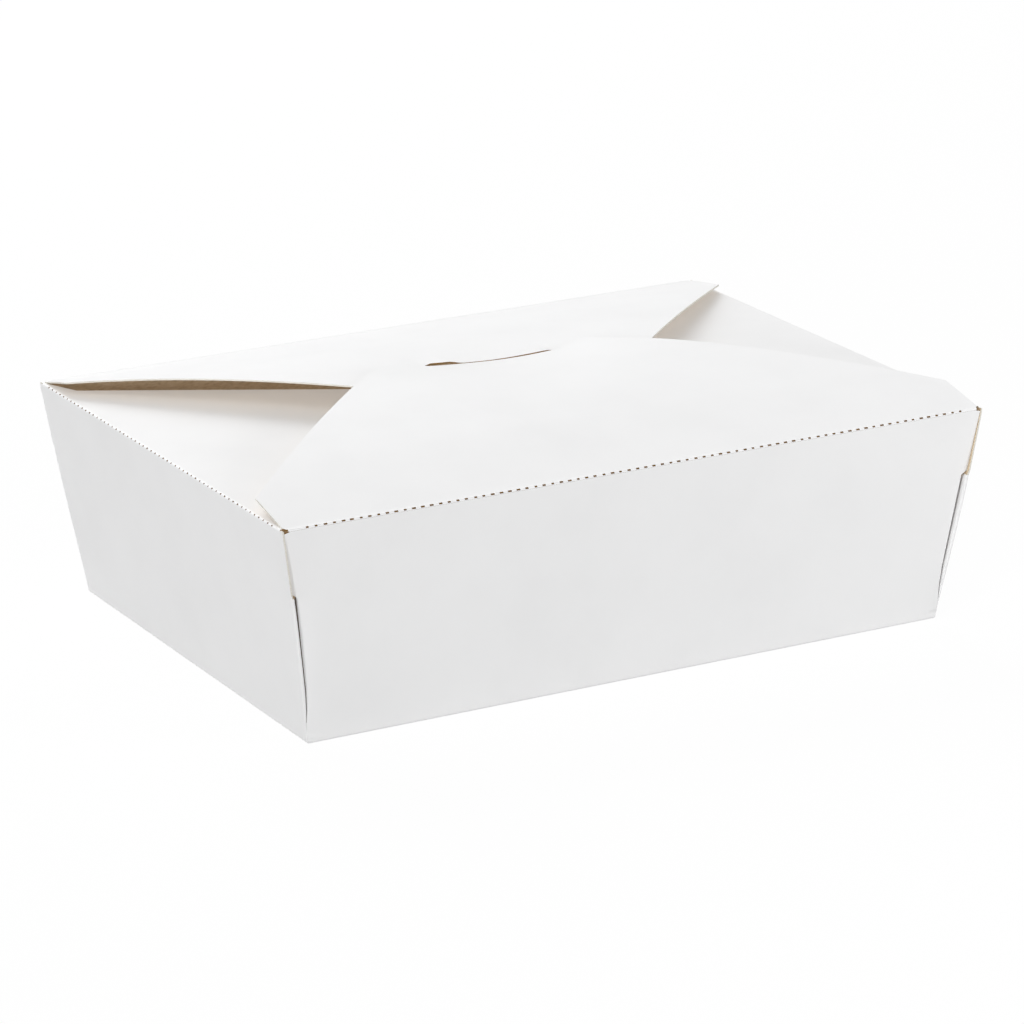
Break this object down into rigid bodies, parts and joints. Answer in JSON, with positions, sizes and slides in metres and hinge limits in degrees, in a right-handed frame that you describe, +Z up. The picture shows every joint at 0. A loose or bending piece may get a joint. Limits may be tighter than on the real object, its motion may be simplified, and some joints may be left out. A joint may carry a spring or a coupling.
{
  "type": "takeout food box",
  "caption": "Folding paperboard food box with flared walls, tucked end flaps and two bowed long flaps, the front one locked by a tongue.",
  "frame": {"origin": "middle of the base, on the surface that the box stands on", "axes": "+X along the long side, to the right seen from the front; +Y from the front wall to the rear wall; +Z up"},
  "size_m": [0.216, 0.157, 0.0731],
  "materials": {
    "white_board": "white clay-coated face outside, bare brown kraft inside and at the cut edges, smooth with a soft sheen"
  },
  "bodies": {
    "carton": {"carton": "white_board"},
    "front_flap": {"front_flap": "white_board"}
  },
  "joints": [
    {"name": "front_flap_hinge", "type": "hinge", "parent": "carton", "child": "front_flap", "pos_m": [0, -0.07827, 0.06227], "axis": [1, 0, 0], "range_deg": [0, 210]}
  ]
}
